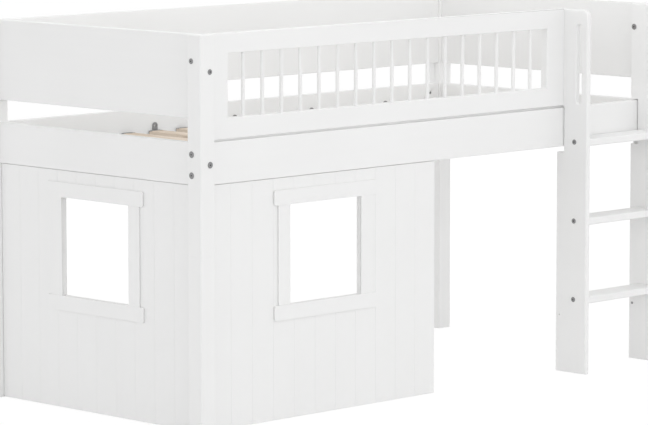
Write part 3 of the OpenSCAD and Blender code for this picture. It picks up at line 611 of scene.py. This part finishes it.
# %% Four posts and four legs
SANDED, POST_ROUND = 0.4 * MM, 3.0 * MM
for corner in ("front_left", "front_right", "back_left", "back_right"):
    post, leg = copy_shape("post_" + corner), copy_shape("leg_" + corner)
    post_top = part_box("post_" + corner)[1].z
    rounded = round_over(post, lambda co: co.z > post_top - SAME_SPOT, POST_ROUND)
    finish_piece(post, "upper_post_" + corner, ["post_" + corner], lacquer_along_z, SANDED)
    finish_piece(leg, "lower_leg_" + corner, ["leg_" + corner], lacquer_along_z, SANDED)
    print(corner, "post:", rounded, "edges rounded over at the top")

# %% [markdown]
# ### Rails and solid guard boards
#
# These are planed boards 27 mm thick with a 2.5 mm round-over along their length, butted against the
# posts. Only the ends and the rims of the barrel nut bores are left to break.

# %% Rails and boards
for node, finish in (
    ("side_rail_front", lacquer_along_x), ("side_rail_back", lacquer_along_x),
    ("guard_board_back", lacquer_along_x),
    ("end_rail_left", lacquer_along_y), ("end_rail_right", lacquer_along_y),
    ("guard_board_left", lacquer_along_y), ("guard_board_right", lacquer_along_y),
):
    piece = finish_piece(copy_shape(node), node + "_board", [node], finish, SANDED)
    print(piece.name, len(piece.data.polygons), "faces")

# %% [markdown]
# ### The barred guard
#
# Its four timbers are glued, filled and sanded before lacquering, so the real guard shows no seam at its
# corners. Four separate boards would show one. So the frame is made in one: a flat grid is cut along the
# edges of the opening, its middle is taken out, and what is left is given its thickness and rounded all
# round, except at its right end, which lies flat against the ladder. It is made 2 mm deeper than its
# lower rail, so the gap above the front rail stays the fine line that it is, and a tongue that sits back
# under it closes the gap: no slat shows through. Two short bores for the barrel nuts are then cut in its
# back.

# %% The guard's frame in one
top_box, foot_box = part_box("guard_top_rail"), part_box("guard_bottom_rail")
left_box, right_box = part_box("guard_upright_post"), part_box("guard_upright_ladder")
FOOT_DROP, GUARD_ROUND, GRID_SPLIT = 2.0 * MM, 2.5 * MM, 0.0001 * MM
outer = (left_box[0].x, right_box[1].x, left_box[0].z - FOOT_DROP, left_box[1].z)
inner = (left_box[1].x, right_box[0].x, foot_box[1].z, top_box[0].z)
guard_front, guard_back = left_box[0].y, left_box[1].y

guard = bmesh.new()
bmesh.ops.create_grid(guard, x_segments=1, y_segments=1, size=0.5)
bmesh.ops.scale(guard, vec=(outer[1] - outer[0], outer[3] - outer[2], 1.0), verts=guard.verts)
bmesh.ops.rotate(guard, cent=(0, 0, 0), matrix=Matrix.Rotation(math.radians(90), 3, "X"),
                 verts=guard.verts)
bmesh.ops.translate(guard, vec=((outer[0] + outer[1]) / 2, guard_front, (outer[2] + outer[3]) / 2),
                    verts=guard.verts)
for x in inner[:2]:
    split_faces(guard, (x, 0, 0), (1, 0, 0), GRID_SPLIT)
for z in inner[2:]:
    split_faces(guard, (0, 0, z), (0, 0, 1), GRID_SPLIT)
window = [f for f in guard.faces if inner[0] < f.calc_center_median().x < inner[1]
          and inner[2] < f.calc_center_median().z < inner[3]]
bmesh.ops.delete(guard, geom=window, context="FACES")
grown = bmesh.ops.extrude_face_region(guard, geom=guard.faces[:])
bmesh.ops.translate(guard, vec=(0, guard_back - guard_front, 0),
                    verts=[g for g in grown["geom"] if isinstance(g, bmesh.types.BMVert)])
bmesh.ops.recalc_face_normals(guard, faces=guard.faces)
bmesh.ops.dissolve_limit(guard, angle_limit=FLAT_ANGLE, verts=guard.verts, edges=guard.edges)
rounded = round_over(guard, lambda co: True, GUARD_ROUND,
                     also=lambda edge: not all(abs(v.co.x - outer[1]) < SAME_SPOT for v in edge.verts))
print("guard frame:", rounded, "edges rounded,", len(guard.faces), "faces")

# %% Barrel nut bores in the guard's back
def add_rod(shape, middle, along, radius, length):
    """Adds a round rod whose axis runs along X (0) or Y (1)."""
    rod = bmesh.ops.create_cone(shape, cap_ends=True, segments=40, radius1=radius, radius2=radius,
                                depth=length)["verts"]
    turn = Matrix.Rotation(math.radians(90), 3, "X" if along else "Y")
    bmesh.ops.rotate(shape, cent=(0, 0, 0), matrix=turn, verts=rod)
    bmesh.ops.translate(shape, vec=middle, verts=rod)


def drilled(mesh, spots, along, radius, length):
    """A mesh with round bores cut into it by a Boolean modifier, whose cutter is then thrown away."""
    cutter_shape = bmesh.new()
    for spot in spots:
        add_rod(cutter_shape, spot, along, radius, length)
    cutter_mesh = bpy.data.meshes.new("cutter")
    cutter_shape.to_mesh(cutter_mesh)
    cutter_shape.free()
    cutter = bpy.data.objects.new("cutter", cutter_mesh)
    blank = bpy.data.objects.new("blank", mesh)
    for o in (cutter, blank):
        bpy.context.scene.collection.objects.link(o)
    cut = blank.modifiers.new("bores", "BOOLEAN")
    cut.object = cutter
    cut.solver = "EXACT"
    done = bpy.data.meshes.new_from_object(blank.evaluated_get(bpy.context.evaluated_depsgraph_get()))
    for o in (cutter, blank):
        bpy.data.objects.remove(o)
    return done


guard_blank = bpy.data.meshes.new("guard_blank")
guard.to_mesh(guard_blank)
guard.free()
NUT_BORE, NUT_BORE_DEPTH, NUT_INSET = 10.2 * MM, 20.0 * MM, 39.0 * MM
nut_height = (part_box("ladder_post_bolt")[0].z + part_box("ladder_post_bolt")[1].z) / 2
bore_spots = [(x, guard_back, nut_height) for x in (outer[0] + NUT_INSET, outer[1] - NUT_INSET)]
guard_cut = drilled(guard_blank, bore_spots, 1, NUT_BORE / 2, 2 * NUT_BORE_DEPTH)
print("guard frame drilled at", [round(spot[0] / MM) for spot in bore_spots])

# %% The tongue under the guard
TONGUE_IN, TONGUE_BACK, TONGUE_GAP, TONGUE_LAP = 8.5 * MM, 5.0 * MM, 0.3 * MM, 1.0 * MM
guard = bmesh.new()
guard.from_mesh(guard_cut)
rail_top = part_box("side_rail_front")[1].z
tongue_low = Vector((outer[0] + TONGUE_LAP, guard_front + TONGUE_IN, rail_top + TONGUE_GAP))
tongue_high = Vector((outer[1] - TONGUE_LAP, guard_back - TONGUE_BACK, outer[2] + TONGUE_LAP))
tongue = bmesh.ops.create_cube(guard, size=1.0)["verts"]
bmesh.ops.scale(guard, vec=tongue_high - tongue_low, verts=tongue)
bmesh.ops.translate(guard, vec=(tongue_low + tongue_high) / 2, verts=tongue)
for edge in {e for v in tongue for e in v.link_edges}:
    edge.smooth = False
guard_timbers = ["guard_top_rail", "guard_bottom_rail", "guard_upright_post", "guard_upright_ladder"]
finish_piece(guard, "barred_guard_frame", guard_timbers, lacquer_along_x, 0.0)
refinish("guard_bars", lacquer_along_z)
print("tongue:", [round(size / MM, 1) for size in tongue_high - tongue_low], "mm")

# %% [markdown]
# ### The ladder
#
# The stiles are 20 mm boards cut on a router. Their front and top have a soft 4.5 mm edge. The hand slot
# is worked over with a 6 mm round-over bit on both faces, because hands slide through it, so from the
# side the slot looks wider than the gap one can see through. Bores keep their crisp rims under the bolt
# heads. The treads keep the 5 mm edges that the frame gives them.

# %% Two stiles
FOOT_SCREW_HEIGHT = 189.0 * MM
SLOT_WIDTH, SLOT_LENGTH, SLOT_DROP, SLOT_IN = 20.5 * MM, 260.0 * MM, 48.0 * MM, 36.5 * MM
SLOT_ROUND, STILE_ROUND, STILE_CORNER, NEAR = 6.0 * MM, 4.5 * MM, 22.1 * MM, 0.1 * MM


def in_slot(co, low, high):
    """Whether a point of the stile lies on the rim of its hand slot."""
    return (abs(co.y - low.y - SLOT_IN) < SLOT_WIDTH / 2 + NEAR
            and abs(high.z - SLOT_DROP - SLOT_LENGTH / 2 - co.z) < SLOT_LENGTH / 2 + NEAR)


def on_front_or_top(co, low, high):
    """Whether a point lies on the stile's front or on its rounded top."""
    return co.y < low.y + NEAR or co.z > high.z - STILE_CORNER and not in_slot(co, low, high)


def on_a_face(edge, low, high):
    """Whether an edge lies in the stile's left or right face."""
    return any(all(abs(v.co.x - face) < SAME_SPOT for v in edge.verts) for face in (low.x, high.x))


tread_heights = [sum(corner.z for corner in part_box("ladder_tread_" + place)) / 2
                 for place in ("bottom", "middle", "top")]
for side in ("left", "right"):
    low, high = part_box("ladder_stile_" + side)
    heights = tread_heights + [nut_height, FOOT_SCREW_HEIGHT]
    stile = copy_shape("ladder_stile_" + side, [((0, 0, z), (0, 0, 1)) for z in heights])
    slot_edges = round_over(stile, lambda co: in_slot(co, low, high), SLOT_ROUND, segments=6,
                            also=lambda edge: on_a_face(edge, low, high))
    outline_edges = round_over(stile, lambda co: on_front_or_top(co, low, high), STILE_ROUND, segments=5,
                               also=lambda edge: on_a_face(edge, low, high))
    finish_piece(stile, "ladder_side_" + side, ["ladder_stile_" + side], lacquer_along_z,
                 SANDED)
    print(side, "stile:", slot_edges, "slot edges and", outline_edges, "outline edges rounded")

# %% Three treads
for place in ("bottom", "middle", "top"):
    node = "ladder_tread_" + place
    tread = finish_piece(copy_shape(node), "tread_" + place, [node], lacquer_along_x,
                         SANDED)
    print(tread.name, len(tread.data.polygons), "faces")

# %% [markdown]
# ### Slats and their caps
#
# The slats are planed, so their edges are rounded by 1.5 mm. Each end sits in a moulded cap that grips it
# from above and below. A moulding has no sharp edge and its top isn't flat: it swells in the middle of
# the slat and runs out thin at both sides, which gives the caps the low lens shape that shows above the
# end rail. At both sides the wall along the rail slants back too, so that the wood shows past it. The
# hole in each tab is a little wider than in the frame, as wide as it looks in a real one.

# %% Slats and battens
SLAT_ROUND, BATTEN_ROUND = 1.5 * MM, 0.8 * MM
finish_piece(copy_shape("slats"), "pine_slats", ["slats"], slat_pine, SLAT_ROUND)
for side in ("front", "back"):
    node = "slat_batten_" + side
    finish_piece(copy_shape(node), "batten_" + side, [node], lacquer_along_x, BATTEN_ROUND)
print("slats and battens done")

# %% Caps with a swollen top
CAP_WALL, CAP_SWELL, CAP_ROUND = 2.5 * MM, 1.8 * MM, 0.5 * MM
RIDGE_LENGTH, RIDGE_CUTS = 10.0 * MM, 9
TAB_ROUND, TAB_HOLE, HOLE_RIM, HOLE_GROWTH = 10.25 * MM, 3.5 * MM, 0.05 * MM, 1.3


def off_slat(co):
    """How far a point lies from the middle of its slat, along the bed."""
    return co.x - slat_pitch * round(co.x / slat_pitch)


cap_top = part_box("slat_caps")[1].z
hole_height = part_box("tab_caps")[1].z - TAB_ROUND
for node in ("slat_caps", "tab_caps"):
    cap_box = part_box(node)
    walls = [((0, cap_box[0].y + CAP_WALL, 0), (0, 1, 0)), ((0, cap_box[1].y - CAP_WALL, 0), (0, 1, 0))]
    caps = copy_shape(node, walls)
    for v in caps.verts:
        off_hole = Vector((off_slat(v.co), v.co.z - hole_height))
        at_rail = min(v.co.y - cap_box[0].y, cap_box[1].y - v.co.y) < SAME_SPOT
        if at_rail and abs(off_slat(v.co)) > SLAT_WIDTH / 2 - SAME_SPOT:
            v.co.x -= math.copysign(CAP_WALL, off_slat(v.co))
        elif off_hole.length < TAB_HOLE + HOLE_RIM:
            v.co.x += (HOLE_GROWTH - 1) * off_hole.x
            v.co.z += (HOLE_GROWTH - 1) * off_hole.y
    ridges = [e for e in caps.edges if all(abs(v.co.z - cap_top) < SAME_SPOT for v in e.verts)
              and abs(e.verts[0].co.x - e.verts[1].co.x) > RIDGE_LENGTH]
    bmesh.ops.subdivide_edges(caps, edges=ridges, cuts=RIDGE_CUTS, use_grid_fill=True)
    for v in caps.verts:
        if abs(v.co.z - cap_top) < SAME_SPOT:
            v.co.z -= CAP_SWELL * (off_slat(v.co) / (SLAT_WIDTH / 2)) ** 4
    piece_name = node.replace("caps", "cap_mouldings")
    finish_piece(caps, piece_name, [node], cap_plastic, CAP_ROUND)
    print(node, len(ridges), "edges swollen")

# %% [markdown]
# ### Play panels and window trim
#
# The panels are fibreboard with milled V grooves that stand for separate boards. Fibreboard shows no
# fibre under the lacquer. The trim round each window is sawn board with a broken edge, glued on. The
# edges of its glued face are rounded by 3 mm, which leaves the fine shadow line between trim and panel.
# The grooves are a quarter shallower than in the frame, since the lacquer fills them a little.

# %% Panels, lintels, sills and casings
GROOVE_FILL, GROOVE_START, GROOVE_REACH = 0.25, 0.05 * MM, 0.3
BOARD_EDGE, TRIM_ROUND = 0.5 * MM, 3.0 * MM
for side, across in (("end", 0), ("front", 1)):
    node = "play_panel_" + side
    panel, faces, filled = copy_shape(node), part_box("play_panel_" + side), 0
    for v in panel.verts:
        depth = v.co[across] - faces[0][across]
        if GROOVE_START < depth < GROOVE_REACH * (faces[1][across] - faces[0][across]):
            v.co[across] -= GROOVE_FILL * depth
            filled += 1
    finish_piece(panel, "grooved_panel_" + side, [node], lacquer_on_board, BOARD_EDGE)
    print(side, "panel:", filled, "corners at groove bottoms")
    for part in ("lintel", "sill", "casings"):
        node = side + "_window_" + part
        trim, glued_face = copy_shape(node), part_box(node)[1][across]
        rounded = round_over(trim, lambda co: abs(co[across] - glued_face) < SAME_SPOT, TRIM_ROUND)
        piece_name = node.replace("window", "trim")
        finish_piece(trim, piece_name, [node], lacquer_on_board, BOARD_EDGE)
        print(node, rounded, "edges rounded at the glued face")

# %% [markdown]
# ### Fasteners
#
# Bolt heads are turned, so the edge of the head and the mouth of the hex socket are broken with a fine
# chamfer. The faces close to a bolt's axis are those of its socket, and they get a near-black steel,
# a painted shade for the shadow inside the socket.
# Everything that sits inside a bore keeps the frame's own shape and only gets its finish.

# %% Bolts with painted shade in their sockets
SOCKET_REACH, TURNED = 2.6 * MM, 0.25 * MM


def off_axis(co, middle, along):
    """The distance of a point from a bolt's axis."""
    offset = co - middle
    offset[along] = 0.0
    return offset.length


for node in ("frame_bolts", "ladder_bolts", "ladder_post_bolt", "ladder_foot_screw"):
    bolts = copy_shape(node)
    dark = 0
    for part, low, high in loose_parts(bolts):
        size, middle = high - low, (low + high) / 2
        along = max(range(3), key=lambda k: size[k])
        for face in {f for v in part for f in v.link_faces}:
            # Painted shade: the faces inside the socket take the near-black second material.
            if all(off_axis(v.co, middle, along) < SOCKET_REACH for v in face.verts):
                face.material_index = 1
                dark += 1
    piece = finish_piece(bolts, node + "_steel", [node], bolt_steel, TURNED)
    piece.data.materials.append(painted_socket_shade_steel)
    print(piece.name, len(piece.data.polygons), "faces,", dark, "in sockets")

# %% Hidden hardware
refinish("barrel_nuts", bolt_steel)
for node in ("leg_studs", "ladder_insert", "batten_screws", "panel_plates", "plate_panel_screws",
             "plate_rail_screws"):
    refinish(node, zinc_plate)
refinish("dowels", dowel_beech)
print("hardware refinished")

# %% [markdown]
# On the inside of the guards, where people lean, the barrel nuts sit behind white cover caps: flat discs
# that fill the mouth of each bore. A cap's place follows from its nut, which ends 2 mm below the board's
# inner face and points with its axis at the middle of the bed.

# %% Cover caps on the guards' nuts
COVER_DEPTH, COVER_SLACK, COVER_SINK, COVER_EDGE = 2.0 * MM, 0.02 * MM, 0.1 * MM, 0.2 * MM
guards_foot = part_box("side_rail_front")[1].z
nuts = copy_shape("barrel_nuts")
covers, covered = bmesh.new(), 0
for part, low, high in loose_parts(nuts):
    if low.z < guards_foot:
        continue
    along = 0 if high.x - low.x > high.y - low.y else 1
    middle = (low + high) / 2
    inward = -1.0 if middle[along] > 0 else 1.0
    middle[along] += inward * ((high[along] - low[along]) / 2 + COVER_DEPTH / 2)
    add_rod(covers, middle, along, NUT_BORE / 2 - COVER_SLACK, COVER_DEPTH - COVER_SINK)
    covered += 1
nuts.free()
finish_piece(covers, "nut_cover_caps", [], lacquer_on_board, COVER_EDGE)
print("cover caps:", covered)

# %% [markdown]
# ## Update the scene
#
# The finished bed has to fill the same box as the frame. The script ends by updating the view layer.

# %% Update the view layer
bpy.context.view_layer.update()
